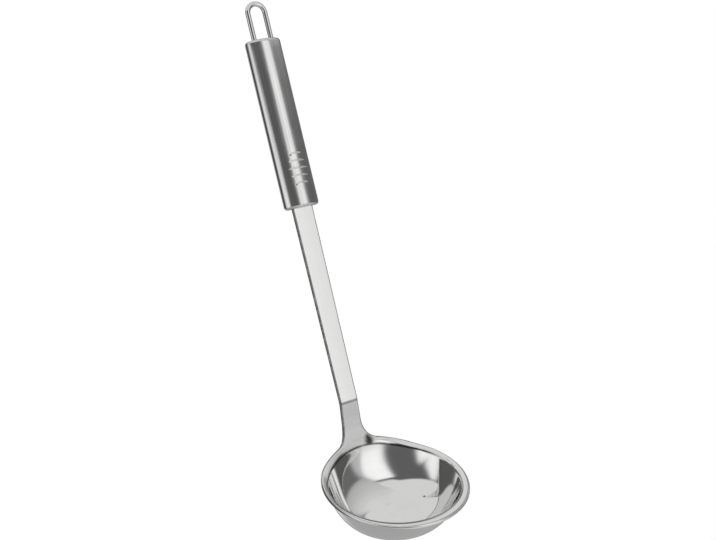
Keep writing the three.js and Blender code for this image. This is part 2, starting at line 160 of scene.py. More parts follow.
# Sizes of the stage in metres, and the picture's width in millimetres
DOME_RADIUS = 4.0
FLOOR_DROP = 0.4
FLOOR_REACH = 6.0
NEAREST_SEEN = 0.01
SENSOR_WIDTH = 36


def number(name, description, value, **limits):
    """A plain number property."""
    return bpy.props.FloatProperty(name=name, description=description, default=value, **limits)


def millimetres(name, description, value):
    """A length property, written in millimetres and kept in metres."""
    return number(name, description, value / 1000, unit="LENGTH", precision=5)


def degrees(name, description, value):
    """An angle property, written in degrees."""
    return number(name, description, math.radians(value), subtype="ANGLE")


def share(name, description, value):
    """A number between nothing and one."""
    return number(name, description, value, min=0, max=1, subtype="FACTOR")


def level(name, description, value):
    """A brightness, where one is paper white."""
    return number(name, description, value, min=0, max=2)


def colour(name, description, value):
    """A colour property."""
    return bpy.props.FloatVectorProperty(
        name=name, description=description, subtype="COLOR", size=3, min=0, max=1, default=value
    )


class SheetSizes(bpy.types.PropertyGroup):
    """Sizes of the one sheet that forms bowl, rim, neck and stem."""

    thickness: millimetres("Thickness", "Thickness of the sheet", 2.0)
    edge_radius: millimetres("Edge radius", "Rounding of the sheet's edges", 0.68)
    stem_length: millimetres("Stem length", "From the crease up to the handle", 124.4)
    stem_width_at_crease: millimetres("Stem width at crease", "Width at the stem's foot", 13.1)
    stem_width_at_handle: millimetres("Stem width at handle", "Width at the handle", 14.7)
    tang_length: millimetres("Tang length", "Part of the stem inside the handle", 32.0)
    crease_length: millimetres("Crease length", "Length of the bend on each side", 1.6)
    rim_diameter: millimetres("Rim diameter", "Across the rim", 89.6)
    rim_tilt: degrees("Rim tilt", "Slope of the rim, low at the front", 28.1)
    rim_reach: millimetres("Rim reach", "Rim centre in front of the stem", 32.1)
    rim_drop: millimetres("Rim drop", "Rim centre below the crease", 49.4)
    rim_crown: millimetres("Rim crown", "Rise of the rim's middle over its two edges", 0.12)
    rim_flattening: millimetres("Rim flattening", "Edge inside its circle at the neck", 1.3)
    rim_flat_from: degrees("Rim flat from", "Angle from the neck where that begins", 48.0)
    mouth_width: millimetres("Mouth width", "Across the bowl's mouth", 82.8)
    mouth_length: millimetres("Mouth length", "Front to back of the bowl's mouth", 78.0)
    lip_radius: millimetres("Lip radius", "Rounding from rim to wall", 3.0)
    bowl_depth: millimetres("Bowl depth", "Depth below the rim", 24.67)
    bowl_fullness: number("Bowl fullness", "Power of the bowl's section at front and sides", 4.7)
    back_fullness: number("Back fullness", "Power of the bowl's section at the back", 2.7)
    bowl_set_back: millimetres("Bowl set-back", "Bowl behind the rim's centre", 0.4)
    back_wall_blend: millimetres("Back wall blend", "Depth that follows the curl", 20.0)
    # Size and place of the painted shade spot in the flare's corner
    shade_spot_size: millimetres("Residue size", "Reach of the dark spot in the flare's corner", 4.8)
    shade_spot_turn: degrees("Residue turn", "Its place round the rim from the neck", 11.5)
    curl_start: millimetres("Curl start", "Where the rim begins to rise", 24.0)
    curl_flat_reach: millimetres("Curl flat reach", "How slowly it begins", 10.9)
    curl_end_back: millimetres("Curl end back", "End of the curl behind the rim's centre", 46.8)
    curl_end_rise: millimetres("Curl end rise", "End of the curl above the rim", 16.6)
    curl_rise_back: millimetres("Curl rise back", "Lean of the curl's end", 3.4)
    curl_rise_reach: millimetres("Curl rise reach", "How slowly it ends", 10.8)
    neck_root: degrees("Neck root", "Half the angle of the rim that the neck grows from", 20.0)
    flare_reach: millimetres("Flare reach", "How far the flare follows the rim", 5.0)
    flare_rise: millimetres("Flare rise", "How far it follows the neck", 8.5)
    flare_height: millimetres("Flare height", "Height of the flare", 14.0)
    flare_width: millimetres("Flare width", "Width where the flare straightens", 14.8)
    neck_width: millimetres("Neck width", "Width at the flare's top", 13.7)


class HandleSizes(bpy.types.PropertyGroup):
    """Sizes of the oval handle and its thumb grooves."""

    length: millimetres("Length", "Length of the handle", 106.0)
    width: millimetres("Width", "Across the oval", 23.9)
    depth: millimetres("Depth", "Front to back", 15.6)
    wall: millimetres("Wall", "Thickness of the tube", 1.0)
    edge_radius: millimetres("Edge radius", "Rounding at both ends", 2.0)
    lip_inset: millimetres("Lip inset", "Closing-in of the ends", 2.2)
    lip_depth: millimetres("Lip depth", "Height of the closed-in lip", 1.8)
    lip_slope: millimetres("Lip slope", "Height of the slope behind the lip", 1.6)
    groove_height: millimetres("Groove height", "Middle groove above the lower end", 23.9)
    groove_pitch: millimetres("Groove pitch", "From groove to groove", 4.6)
    groove_lengths: bpy.props.FloatVectorProperty(
        name="Groove half lengths", description="Half lengths from the top groove to the lowest",
        size=5, unit="LENGTH", default=(0.0044, 0.0062, 0.0080, 0.0066, 0.0048),
    )
    groove_radius: millimetres("Groove radius", "Roundness of a groove", 0.6)
    groove_cut: millimetres("Groove cut", "Depth of a groove", 0.24)
    groove_arch: millimetres("Groove arch", "Rise of a groove's middle", 0.35)
    groove_run_out: millimetres("Groove run-out", "Lift off the surface at its ends", 0.1)
    dimple_radius: millimetres("Dimple radius", "Dots at the left ends of the outer grooves", 0.6)
    dimple_depth: millimetres("Dimple depth", "Depth of those dots", 0.7)


class LoopSizes(bpy.types.PropertyGroup):
    """Sizes of the hanging loop of round wire."""

    rise: millimetres("Rise", "Inside top above the handle", 21.1)
    forward: millimetres("Forward", "Wire in front of the stem's middle plane", 1.3)
    spacing: millimetres("Spacing", "Between the legs' axes", 12.0)
    wire: millimetres("Wire", "Wire diameter", 3.2)
    leg_in_handle: millimetres("Leg in handle", "Hidden end of each leg", 12.0)


class Finishes(bpy.types.PropertyGroup):
    """Colours of the steel and how its surfaces shine."""

    polished: colour("Polished steel", "Bowl, neck and stem", (0.82, 0.82, 0.815))
    satin: colour("Satin steel", "Handle and end plates", (0.80, 0.80, 0.795))
    wire: colour("Wire steel", "Hanging loop", (0.80, 0.80, 0.795))
    bead: colour("Bead steel", "Beads inside the handle", (0.46, 0.45, 0.43))
    # Colour of the painted shade and painted dark reflection on the sheet
    painted_shade: colour("Shade", "Dark polishing residue", (0.06, 0.06, 0.06))
    polished_roughness: share("Polished roughness", "Blur of the bowl's reflections", 0.06)
    dull_roughness: share("Dull roughness", "Blur in the bend between neck and rim", 0.42)
    satin_roughness: share("Satin roughness", "Blur of the handle's reflections", 0.18)
    wire_roughness: share("Wire roughness", "Blur of the wire's reflections", 0.05)
    bead_roughness: share("Bead roughness", "Blur of the beads' reflections", 0.45)


class Studio(bpy.types.PropertyGroup):
    """Camera place and brightness of the studio."""

    azimuth: degrees("Azimuth", "Camera's turn from straight in front, to the left", 32.60)
    elevation: degrees("Elevation", "Camera's height angle", 1.415)
    roll: degrees("Roll", "Lean of the picture", 13.434)
    distance: millimetres("Distance", "Camera to target", 739.42)
    target_x: millimetres("Target sideways", "Target beside the stem", 29.51)
    target_rise: millimetres("Target rise", "Target above the crease", 78.15)
    lens: number("Lens", "Focal length for the picture's width", 58.53, unit="CAMERA")
    front_wall: share("Front wall level", "Dark wall between the two soft boxes", 0.13)
    right_wall: share("Right wall level", "Dark wall right of the front soft box", 0.16)
    left_wall: share("Left wall level", "Dark wall behind the left soft box", 0.08)
    rear_wall: share("Rear wall level", "Wall behind the object", 0.20)
    rear_box: level("Rear box level", "Soft box straight behind the object", 0.75)
    side_cloth: share("Side cloth level", "Lower edge of the cloth above the right wall", 0.45)
    ceiling: share("Ceiling level", "Light cloth overhead", 0.77)
    ground: share("Ground level", "Table below", 0.43)
    front_box: level("Front box level", "Brightness of the front soft box", 1.12)
    front_box_from: degrees("Front box from", "Left edge of the front soft box", 0.5)
    front_box_to: degrees("Front box to", "Right edge of the front soft box with its wing", 40.0)
    wing: level("Wing level", "Brightness of the dimmer wing right of the front soft box", 0.55)
    wing_from: degrees("Wing from", "Left edge of that wing", 32.4)
    front_box_top: degrees("Front box top", "Upper edge of the front soft box", 25.3)
    left_box: level("Left box level", "Brightness of the left soft boxes", 1.05)
    left_box_from: degrees("Left box from", "Rear edge of the left soft boxes", -111.0)
    left_box_to: degrees("Left box to", "Front edge of the tall left soft box", -77.0)
    left_box_top: degrees("Left box top", "Upper edge of the tall left soft box", 33.0)
    strip_to: degrees("Strip to", "Front edge of the low left soft box", -61.0)
    strip_top: degrees("Strip top", "Upper edge of the low left soft box", 8.8)
    wall_top: degrees("Wall top", "Upper edge of the walls at the left", 34.4)
    front_top: degrees("Front top", "Upper edge of the walls at the front", 28.6)
    side_top: degrees("Side top", "Upper edge of the cloth at the right", 58.0)
    rear_top: degrees("Rear top", "Upper edge of the wall behind", 46.0)
    side_cloth_edge: degrees("Side cloth edge", "Lower edge of the cloth at the right", 12.0)
    ground_edge: degrees("Ground edge", "Angle below which the table shows", -27.0)


# Shapes
def heights(scene):
    """Top and bottom of the handle and the crease, with the loop's inside top at nothing."""
    top = -scene.ladle_loop.rise
    bottom = top - scene.ladle_handle.length
    return top, bottom, bottom - scene.ladle_sheet.stem_length


def smoothstep(value, low, high):
    """Nothing up to a low value and one from a high value, with a smooth passage."""
    t = np.clip((value - low) / (high - low), 0, 1)
    return t * t * (3 - 2 * t)


def unit(vectors):
    """The same directions with a length of one."""
    return vectors / np.linalg.norm(vectors, axis=1)[:, None]


def bezier(points, t):
    """Points and directions on a Bezier curve of any degree."""
    points = np.asarray(points, float)
    degree = len(points) - 1
    t = np.asarray(t, float)[:, None]

    def value(control):
        n = len(control) - 1
        return sum(math.comb(n, i) * t**i * (1 - t) ** (n - i) * control[i] for i in range(n + 1))

    return value(points), unit(value(degree * np.diff(points, axis=0)))


class BentSheet:
    """Side view of the sheet's upper face and the places on it."""

    def __init__(self, scene):
        s = scene.ladle_sheet
        _, bottom, crease_z = heights(scene)
        self.s = s
        self.centre = np.array([-s.rim_reach, crease_z - s.rim_drop])
        self.backward = np.array([math.cos(s.rim_tilt), math.sin(s.rim_tilt)])
        self.upward = np.array([-math.sin(s.rim_tilt), math.cos(s.rim_tilt)])
        face = -s.thickness / 2
        crease = np.array([face, crease_z])
        curl_end = self.flat(s.curl_end_back, s.curl_end_rise)
        slant = curl_end - crease
        neck_end = crease + slant / np.linalg.norm(slant) * s.crease_length
        stem_start = crease + np.array([0, s.crease_length])
        tang_end = np.array([face, bottom + s.tang_length])
        rise = self.flat(s.curl_end_back - s.curl_rise_back, s.curl_end_rise - s.curl_rise_reach)
        curves = [
            [self.flat(-s.rim_diameter, 0), self.flat(s.curl_start, 0)],
            [self.flat(s.curl_start, 0), self.flat(s.curl_start + s.curl_flat_reach, 0),
             rise, curl_end],
            [curl_end, neck_end],
            [neck_end, crease, stem_start],
            [stem_start, tang_end],
        ]
        t = np.linspace(0, 1, CURVE_STEPS)
        parts = [bezier(c, t) for c in curves]
        self.points = np.concatenate([p for p, _ in parts])
        self.ways = np.concatenate([w for _, w in parts])
        steps = np.linalg.norm(np.diff(self.points, axis=0), axis=1)
        self.along = np.concatenate([[0], np.cumsum(steps)]) - s.rim_diameter
        ends = [self.along[CURVE_STEPS * (i + 1) - 1] for i in range(len(curves))]
        _, _, self.neck_end, self.stem_start, self.tang_end = ends
        self.at_handle = self.tang_end - s.tang_length

    def flat(self, back, up):
        """Place in the rim's plane seen from the side."""
        back, up = np.asarray(back, float), np.asarray(up, float)
        return self.centre + back[..., None] * self.backward + up[..., None] * self.upward

    def read(self, table, along):
        """Row of a table at a place along the sheet."""
        return np.stack([np.interp(along, self.along, column) for column in table.T], -1)

    def way(self, along):
        """Direction of the side view at a place along the sheet."""
        return self.read(self.ways, along)

    def place(self, x, along, below):
        """Points of the bent sheet, some way below its upper face."""
        point, way = self.read(self.points, along), self.way(along)
        y = point[..., 0] + way[..., 1] * below
        z = point[..., 1] - way[..., 0] * below
        return np.stack([x, y, z], -1)

    def bowl(self, x, back, below, inset):
        """Points of the bowl, hung from the curled rim near the mouth and free lower down."""
        side = self.flat(back, -below)
        free = np.stack([x, side[..., 0], side[..., 1]], -1)
        under = below - inset
        hanging = self.place(x, back, inset)
        hanging[..., 1:] -= under[..., None] * self.upward
        held = smoothstep(1 - under / self.s.back_wall_blend, 0, 1) * (back > self.s.curl_start)
        return free + held[..., None] * (hanging - free)


def closed_mesh(name, points, faces):
    """Mesh of quads and triangles with smooth shading whose faces point outwards."""
    points = np.asarray(points, float)
    volume = 0.0
    for f in faces:
        for k in range(1, len(f) - 1):
            volume += points[f[0]] @ np.cross(points[f[k]], points[f[k + 1]])
    if volume < 0:
        faces = [f[::-1] for f in faces]
    mesh = bpy.data.meshes.new(name)
    mesh.from_pydata(points.tolist(), [], faces)
    mesh.validate()
    mesh.shade_smooth()
    return mesh


def show(scene, name, data):
    """Object made from a mesh or a camera, put into the scene."""
    obj = bpy.data.objects.new(name, data)
    scene.collection.objects.link(obj)
    return obj


def piece(scene, name, mesh, node, material):
    """Object that stands for a solid, rides on the one body and takes the finish it is given."""
    mesh.transform(Matrix.Translation((0, scene.ladle_loop.forward, 0)))
    mesh.materials.append(material)
    obj = show(scene, name, mesh)
    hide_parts(node)
    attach(obj, "root")


def finish_solids(nodes, material):
    """Give solids that are shown as they are their finish."""
    for node in nodes:
        solid = frame["nodes"][node]
        solid.data.materials.clear()
        solid.data.materials.append(material)


def mark(mesh, name, values):
    """Keep one number for each point of a mesh, for its material to read."""
    mesh.attributes.new(name, "FLOAT", "POINT").data.foreach_set("value", values)


class MeshRows:
    """Gathers points and faces of one closed skin."""

    def __init__(self):
        self.points = []
        self.faces = []

    def put(self, points):
        """Add points and give their numbers."""
        points = np.asarray(points, float).reshape(-1, 3)
        first = len(self.points)
        self.points.extend(points)
        return list(range(first, len(self.points)))

    def band(self, a, b, closed):
        """Quads between two rows of the same length."""
        last = len(a) if closed else len(a) - 1
        for j in range(last):
            n = (j + 1) % len(a)
            self.faces.append((a[j], a[n], b[n], b[j]))

    def bands(self, rows, closed):
        """Quads between each row and the next."""
        for a, b in zip(rows, rows[1:]):
            self.band(a, b, closed)


def bowl_rings(s, turn, inset):
    """Places and depths of one face's rings, from the floor up the wall and over the lip."""
    depth, lip = s.bowl_depth + inset, s.lip_radius - inset
    wide, long = s.mouth_width / 2 + inset, s.mouth_length / 2 + inset
    backward = np.maximum(0, np.cos(turn)) ** 2
    fullness = s.bowl_fullness + (s.back_fullness - s.bowl_fullness) * backward
    slope = long / (fullness * depth)
    lip_depth = s.lip_radius - lip * np.sin(np.arctan(slope))
    draft = np.arctan(slope * (1 - lip_depth / depth) ** (1 / fullness - 1))
    top = np.arccos(np.sqrt((s.lip_radius - lip * np.sin(draft)) / depth))
    rings = []

    def add(part, out, below):
        x = (wide * part + out) * np.sin(turn)
        rings.append((x, s.bowl_set_back + (long * part + out) * np.cos(turn), below))

    for i in range(1, WALL_STEPS + 1):
        rise = top * i / WALL_STEPS
        add(np.sin(rise) ** (2 / fullness), 0, depth * np.cos(rise) ** 2)
    for i in range(1, FILLET_STEPS + 1):
        roll = draft + (math.pi / 2 - draft) * i / FILLET_STEPS
        out = lip * (np.cos(draft) - np.cos(roll))
        add(np.sin(top) ** (2 / fullness), out, s.lip_radius - lip * np.sin(roll))
    return rings


def mark_sheet(scene, mesh, sheet, points, up, edge, spot_end):
    """Mark where the sheet gets painted shade and painted reflection, and where it is dull."""
    s = scene.ladle_sheet
    wall = np.concatenate(up[:WALL_STEPS])
    below = heights(scene)[2] - points[:, 2]

    # Painted shade line under the lip at the back
    lip = np.zeros(len(points))
    turn = 360 * np.arange(ROUND_STEPS) / ROUND_STEPS
    turn = np.where(turn > 180, turn - 360, turn)
    reach = smoothstep(turn, *LIP_SHADE_FROM) * (1 - smoothstep(turn, *LIP_SHADE_TO))
    for ring, strength in LIP_SHADE_RINGS:
        lip[up[WALL_STEPS + ring]] = strength * reach

    # Painted shade spot in the right corner of the flare, which stays off the bowl's wall
    spot = np.zeros(len(points))
    for part, size in SPOT_PARTS:
        away = np.linalg.norm(points - sheet.place(*(part * spot_end), 0), axis=1)
        spot = np.maximum(spot, 1 - smoothstep(away / s.shade_spot_size, SPOT_CORE * size, size))
    spot[wall] = 0

    # Painted shade line in the crease, and cut edges painted dark as a painted reflection
    crease = CREASE_SHADE * (1 - smoothstep(np.abs(below) / s.crease_length, *CREASE_LINE))
    cut = np.zeros(len(points))
    cut[edge] = EDGE_DARK_REFLECTION * (1 - smoothstep(below[edge], *EDGE_FADE))
    mark(mesh, "painted_shade", np.max([lip, spot, crease, cut], axis=0))

    # The bend between neck and rim is duller, since a polishing wheel hardly gets into it
    dull = smoothstep(below, *DULL_FROM) * (1 - smoothstep(below, *DULL_TO))
    dull *= 1 - smoothstep(np.abs(points[:, 0]) / s.neck_width, *DULL_SIDES)
    dull[wall] = 0
    mark(mesh, "dull", dull)


def bowl_and_stem_mesh(scene):
    """Upper face, lower face and rounded edge of the one sheet."""
    s = scene.ladle_sheet
    sheet = BentSheet(scene)
    skin = MeshRows()
    angle = 2 * math.pi * np.arange(ROUND_STEPS) / ROUND_STEPS
    rim_radius = s.rim_diameter / 2 - s.edge_radius
    half = round(ROUND_STEPS * s.neck_root / (2 * math.pi))
    root = angle[half]

    def on_edge(turn):
        near = smoothstep(np.cos(turn), math.cos(s.rim_flat_from), math.cos(root))
        radius = rim_radius - s.rim_flattening * near
        return np.stack([radius * np.sin(turn), radius * np.cos(turn)], -1)

    def round_face(inset):
        floor = sheet.flat(s.bowl_set_back, -s.bowl_depth - inset)
        centre = skin.put([0, floor[0], floor[1]])[0]
        rings = bowl_rings(s, angle, inset)
        numbers = [skin.put(sheet.bowl(*ring, inset)) for ring in rings]
        lip_end = np.stack(rings[-1][:2], -1)
        for part in np.linspace(0, 1, RIM_STEPS + 1)[1:]:
            flat = lip_end + part * (on_edge(angle) - lip_end)
            crown = 0 if inset else 4 * s.rim_crown * part * (1 - part)
            numbers.append(skin.put(sheet.place(flat[:, 0], flat[:, 1], inset - crown)))
        return centre, numbers

    # Rows of neck and stem on the unrolled sheet, as half width, place along and bow
    foot = on_edge(root)
    foot_way = np.array([-math.cos(root), math.sin(root)])
    flare_top = foot[1] + s.flare_height
    flare, _ = bezier([
        foot,
        foot + foot_way * s.flare_reach,
        (s.flare_width / 2 - s.edge_radius, flare_top - s.flare_rise),
        (s.neck_width / 2 - s.edge_radius, flare_top),
    ], np.arange(1, NECK_STEPS + 1) / NECK_STEPS)
    rows = [(x, y, 1 - ((k + 1) / NECK_STEPS) ** 3) for k, (x, y) in enumerate(flare)]
    crease_x = s.stem_width_at_crease / 2 - s.edge_radius
    handle_x = s.stem_width_at_handle / 2 - s.edge_radius
    for t in np.linspace(0, 1, STEM_STEPS + 1)[1:-1]:
        rows.append((rows[NECK_STEPS - 1][0] * (1 - t) + crease_x * t,
                     flare_top * (1 - t) + sheet.neck_end * t, 0))
    for along in np.linspace(sheet.neck_end, sheet.stem_start, CREASE_STEPS + 1):
        rows.append((crease_x, along, 0))
    for t in np.linspace(0, 1, STEM_STEPS + 1)[1:]:
        rows.append((crease_x * (1 - t) + handle_x * t,
                     sheet.stem_start * (1 - t) + sheet.at_handle * t, 0))
    rows.append((handle_x, sheet.tang_end - s.edge_radius, 0))
    columns = np.arange(-half, half + 1)
    turns = 2 * math.pi * columns / ROUND_STEPS

    def spread(row):
        x, along, bow = row
        bulge = on_edge(turns)[:, 1] - foot[1]
        return np.stack([x * np.sin(turns) / math.sin(root), along + bow * bulge], -1)

    def neck_face(rim, below):
        grid = [[rim[c] for c in columns]]
        for row in rows:
            at = spread(row)
            grid.append(skin.put(sheet.place(at[:, 0], at[:, 1], below)))
        return grid

    up_centre, up = round_face(0)
    low_centre, low = round_face(s.thickness)
    up_neck = neck_face(up[-1], 0)
    low_neck = neck_face(low[-1], s.thickness)
    for j in range(ROUND_STEPS):
        n = (j + 1) % ROUND_STEPS
        skin.faces.append((up_centre, up[0][j], up[0][n]))
        skin.faces.append((low_centre, low[0][n], low[0][j]))
    skin.bands(up[::-1], True)
    skin.bands(low, True)
    skin.bands(up_neck[::-1], False)
    skin.bands(low_neck, False)

    # Edge of the sheet in order, with its place on the unrolled sheet
    round_rim = range(ROUND_STEPS - half, half - 1, -1)
    border = [(on_edge(angle[j]), up[-1][j], low[-1][j]) for j in round_rim]
    last = len(rows) - 1
    ends = [(k, -1) for k in range(last + 1)]
    ends += [(last, c) for c in range(2 * half - 1, 0, -1)]
    ends += [(k, 0) for k in range(last, -1, -1)]
    border += [(spread(rows[k])[c], up_neck[k + 1][c], low_neck[k + 1][c]) for k, c in ends]
    at = np.array([b[0] for b in border])
    first = unit(at - np.roll(at, 1, 0))
    second = unit(np.roll(at, -1, 0) - at)
    way = unit(first + second)
    out = np.stack([way[:, 1], -way[:, 0]], 1) / (way * first).sum(1)[:, None]
    turn = math.pi / 2 * np.arange(1, EDGE_STEPS + 1) / EDGE_STEPS
    corner = s.edge_radius * np.stack([np.sin(turn), 1 - np.cos(turn)], 1)
    section = [*corner, *((0, s.thickness) + corner[::-1] * (1, -1))]
    direction = sheet.way(at[:, 1])
    strips = [[b[1] for b in border]]
    for far, below in section:
        v = sheet.place(at[:, 0] + out[:, 0] * far, at[:, 1], below)
        v[:, 1:] += direction * (out[:, 1] * far)[:, None]
        strips.append(skin.put(v))
    strips.append([b[2] for b in border])
    skin.bands(strips[::-1], True)
    mesh = closed_mesh("bowl_and_stem_skin", skin.points, skin.faces)

    edge = np.concatenate([np.asarray(strip) for strip in strips[1:-1]])
    mark_sheet(scene, mesh, sheet, np.asarray(skin.points), up, edge, on_edge(s.shade_spot_turn))
    return mesh


def oval(handle, inset):
    """Points round the handle's oval, moved inwards; the inset may differ from point to point."""
    a, b = handle.width / 2, handle.depth / 2
    turn = 2 * math.pi * np.arange(OVAL_STEPS) / OVAL_STEPS
    normal = unit(np.stack([b * np.cos(turn), a * np.sin(turn)], 1))
    edge = np.stack([a * np.cos(turn), b * np.sin(turn)], 1)
    return edge - normal * np.broadcast_to(inset, OVAL_STEPS)[:, None]


def groove_depth(handle, bottom, x, z):
    """How deep the thumb grooves cut the handle's front at height z."""
    depth = np.zeros_like(x)
    count = len(handle.groove_lengths)
    for i, half_length in enumerate(handle.groove_lengths):
        middle = bottom + handle.groove_height + handle.groove_pitch * ((count - 1) / 2 - i)
        part = np.clip(x / half_length, -1, 1)
        lift = handle.groove_radius - handle.groove_cut
        lift = lift + (handle.groove_cut + handle.groove_run_out) * part**4
        off = z - middle - handle.groove_arch * (1 - part**2)
        cut = np.sqrt(np.maximum(0, handle.groove_radius**2 - off**2)) - lift
        depth = np.maximum(depth, cut)
        if i in (0, count - 1):
            radius = handle.dimple_radius
            off = np.hypot(x + half_length - radius, z - middle + radius)
            dot = handle.dimple_depth * (1 - np.minimum(1, off / radius) ** 2)
            depth = np.maximum(depth, dot)
    return depth


def handle_mesh(scene):
    """Oval tube with rounded, closed-in ends and thumb grooves in its front."""
    h = scene.ladle_handle
    top, bottom, _ = heights(scene)
    turn = math.pi / 2 * np.arange(FILLET_STEPS + 1) / FILLET_STEPS
    rounding = [(1 - math.cos(t), 1 - math.sin(t)) for t in turn]
    rounding = [(h.edge_radius * inset, h.edge_radius * z) for inset, z in rounding]
    lip = [(h.lip_inset, 0), (h.lip_inset, h.lip_depth), (h.wall, h.lip_depth + h.lip_slope)]
    spread = 2 * h.groove_pitch + 2 * h.groove_radius + 2 * h.dimple_radius
    middle = bottom + h.groove_height
    fine = np.arange(middle - spread, middle + spread, GROOVE_ROW)
    plain = np.linspace(middle + spread, top - h.edge_radius, STEM_STEPS)
    skin = MeshRows()
    front = np.arange(OVAL_STEPS) > OVAL_STEPS / 2
    x = oval(h, 0)[:, 0]
    loop = [(inset, bottom + z) for inset, z in rounding[::-1]]
    loop += [(np.where(front, groove_depth(h, bottom, x, z), 0), z) for z in fine]
    loop += [(0, z) for z in plain[:-1]]
    loop += [(inset, top - z) for inset, z in rounding + lip]
    loop += [(inset, bottom + z) for inset, z in lip[::-1]]
    rings = []
    for inset, z in loop:
        rings.append(skin.put(np.column_stack([oval(h, inset), np.full(OVAL_STEPS, z)])))
    skin.bands(rings + rings[:1], True)
    return closed_mesh("handle_skin", skin.points, skin.faces)


def loop_mesh(scene):
    """Round wire up one leg, over the half circle and down the other leg."""
    loop = scene.ladle_loop
    top, _, _ = heights(scene)
    radius, thick = loop.spacing / 2, loop.wire / 2
    shoulder = thick - radius
    rise = np.linspace(top - loop.leg_in_handle, shoulder, LEG_STEPS + 1)[:-1]
    turn = math.pi * np.arange(LOOP_STEPS + 1) / LOOP_STEPS
    path = [(-radius, z, -1, 0) for z in rise]
    for t in turn:
        nx, nz = -math.cos(t), math.sin(t)
        path.append((radius * nx, shoulder + radius * nz, nx, nz))
    path += [(radius, z, 1, 0) for z in rise[::-1]]
    around = 2 * math.pi * np.arange(WIRE_SIDES) / WIRE_SIDES
    skin = MeshRows()
    rings = []
    for x, z, nx, nz in path:
        out, y = thick * np.cos(around), -loop.forward + thick * np.sin(around)
        rings.append(skin.put(np.stack([x + nx * out, y, z + nz * out], 1)))
    skin.bands(rings, True)
    skin.faces.append(tuple(rings[0][::-1]))
    skin.faces.append(tuple(rings[-1]))
    return closed_mesh("loop_skin", skin.points, skin.faces)


# Finishes
def add_node(tree, kind, **values):
    """A node with its settings and the values of its inputs, with an underscore for a space."""
    node = tree.nodes.new(kind)
    for key, value in values.items():
        if hasattr(node, key):
            setattr(node, key, value)
        else:
            node.inputs[key.replace("_", " ")].default_value = value
    return node


def join(tree, *links):
    """Link nodes, each time from a node and its output to a node and its input."""
    for start, output, end, entry in links:
        tree.links.new(start.outputs[output], end.inputs[entry])


def grain_group():
    """Fine polishing lines drawn out along one direction, as a mask and a height."""
    name = "polishing_lines"
    if name in bpy.data.node_groups:
        return bpy.data.node_groups[name]
    group = bpy.data.node_groups.new(name, "ShaderNodeTree")
    sockets = group.interface
    sockets.new_socket("Stretch", in_out="INPUT", socket_type="NodeSocketVector")
    sockets.new_socket("Patch scale", in_out="INPUT", socket_type="NodeSocketFloat")
    sockets.new_socket("Lines", in_out="OUTPUT", socket_type="NodeSocketFloat")
    sockets.new_socket("Patches", in_out="OUTPUT", socket_type="NodeSocketFloat")
    start = group.nodes.new("NodeGroupInput")
    end = group.nodes.new("NodeGroupOutput")
    place = group.nodes.new("ShaderNodeTexCoord")
    scale = add_node(group, "ShaderNodeVectorMath", operation="MULTIPLY")
    lines = add_node(group, "ShaderNodeTexNoise", Scale=1.0, Detail=4.0, Roughness=0.65)
    patches = add_node(group, "ShaderNodeTexNoise", Detail=2.0, Roughness=0.5)
    join(
        group,
        (place, "Object", scale, 0),
        (start, "Stretch", scale, 1),
        (scale, 0, lines, "Vector"),
        (place, "Object", patches, "Vector"),
        (start, "Patch scale", patches, "Scale"),
        (lines, "Fac", end, "Lines"),
        (patches, "Fac", end, "Patches"),
    )
    return group


def steel(name, tint, roughness, stretch, patch_scale, line_share, patch_share, bump):
    """Steel whose roughness and shine follow polishing lines and faint patches."""
    material = bpy.data.materials.new(name)
    material.use_nodes = True
    tree = material.node_tree
    shader = tree.nodes["Principled BSDF"]
    shader.inputs["Metallic"].default_value = 1.0
    lines = add_node(
        tree, "ShaderNodeGroup", name="lines", node_tree=grain_group(),
        Stretch=stretch, Patch_scale=patch_scale,
    )
    rough = add_node(
        tree, "ShaderNodeMapRange", name="rough", From_Min=PATCH_RANGE[0], From_Max=PATCH_RANGE[1],
        To_Min=roughness * (1 - patch_share), To_Max=roughness * (1 + patch_share),
    )
    tone = add_node(
        tree, "ShaderNodeMix", name="tone", data_type="RGBA",
        A=(*[c * (1 - line_share) for c in tint], 1),
        B=(*[min(1, c * (1 + line_share / 3)) for c in tint], 1),
    )
    ridge = add_node(tree, "ShaderNodeBump", name="ridge", Strength=1.0, Distance=bump)
    join(
        tree,
        (lines, "Patches", rough, "Value"),
        (rough, "Result", shader, "Roughness"),
        (lines, "Lines", tone, "Factor"),
        (tone, "Result", shader, "Base Color"),
        (lines, "Lines", ridge, "Height"),
        (ridge, "Normal", shader, "Normal"),
    )
    return material


